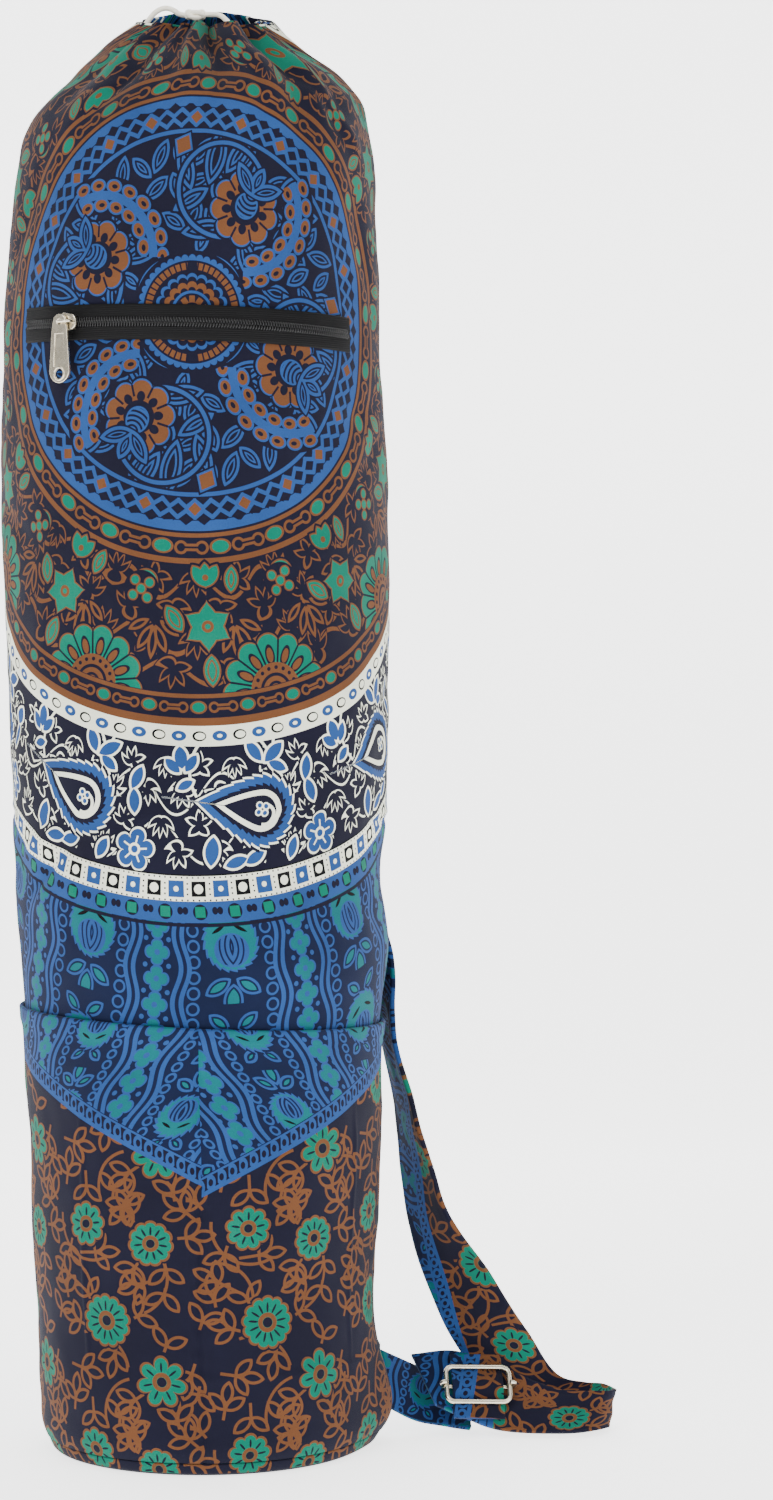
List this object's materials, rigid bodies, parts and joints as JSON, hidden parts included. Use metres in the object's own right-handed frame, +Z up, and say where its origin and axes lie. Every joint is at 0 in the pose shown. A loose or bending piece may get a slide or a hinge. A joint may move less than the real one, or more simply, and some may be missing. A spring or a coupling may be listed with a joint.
{
  "type": "yoga mat bag",
  "caption": "Tall soft drawstring tube bag for a rolled mat, with a front patch pocket, a short zip with a swinging pull, and a shoulder strap with a wire buckle.",
  "frame": {"origin": "centre of the round base, where the bag stands on its flat underside", "axes": "+Z up along the tube, front with the zip and pocket towards -Y, strap and buckle towards +X"},
  "size_m": [0.2846, 0.1808, 0.661],
  "materials": {
    "print_cloth": "matte printed cotton",
    "pocket_cloth": "matte printed cotton",
    "strap_cloth": "matte printed cotton",
    "binding_cloth": "matte dark cotton",
    "zip_tape": "matte woven tape",
    "cord": "matte braided cotton",
    "metal": "polished pale nickel"
  },
  "bodies": {
    "bag": {"bag_body": "print_cloth", "base_panel": "binding_cloth", "front_pocket": "pocket_cloth", "zip_tape": "zip_tape", "zip_coil": "zip_tape", "zip_slider": "metal", "drawcord_loop": "cord", "drawcord_run": "cord", "drawcord_knot": "cord", "shoulder_strap": "strap_cloth", "strap_tab": "strap_cloth", "buckle_frame": "metal", "buckle_bar": "metal", "buckle_tongue": "strap_cloth"},
    "pull": {"zip_pull": "metal"}
  },
  "joints": [
    {"name": "zip_pull_swing", "type": "hinge", "parent": "bag", "child": "pull", "pos_m": [-0.06437, -0.07202, 0.50774], "axis": [-0.5948, -0.8039, 0], "range_deg": [-215, 35]}
  ]
}
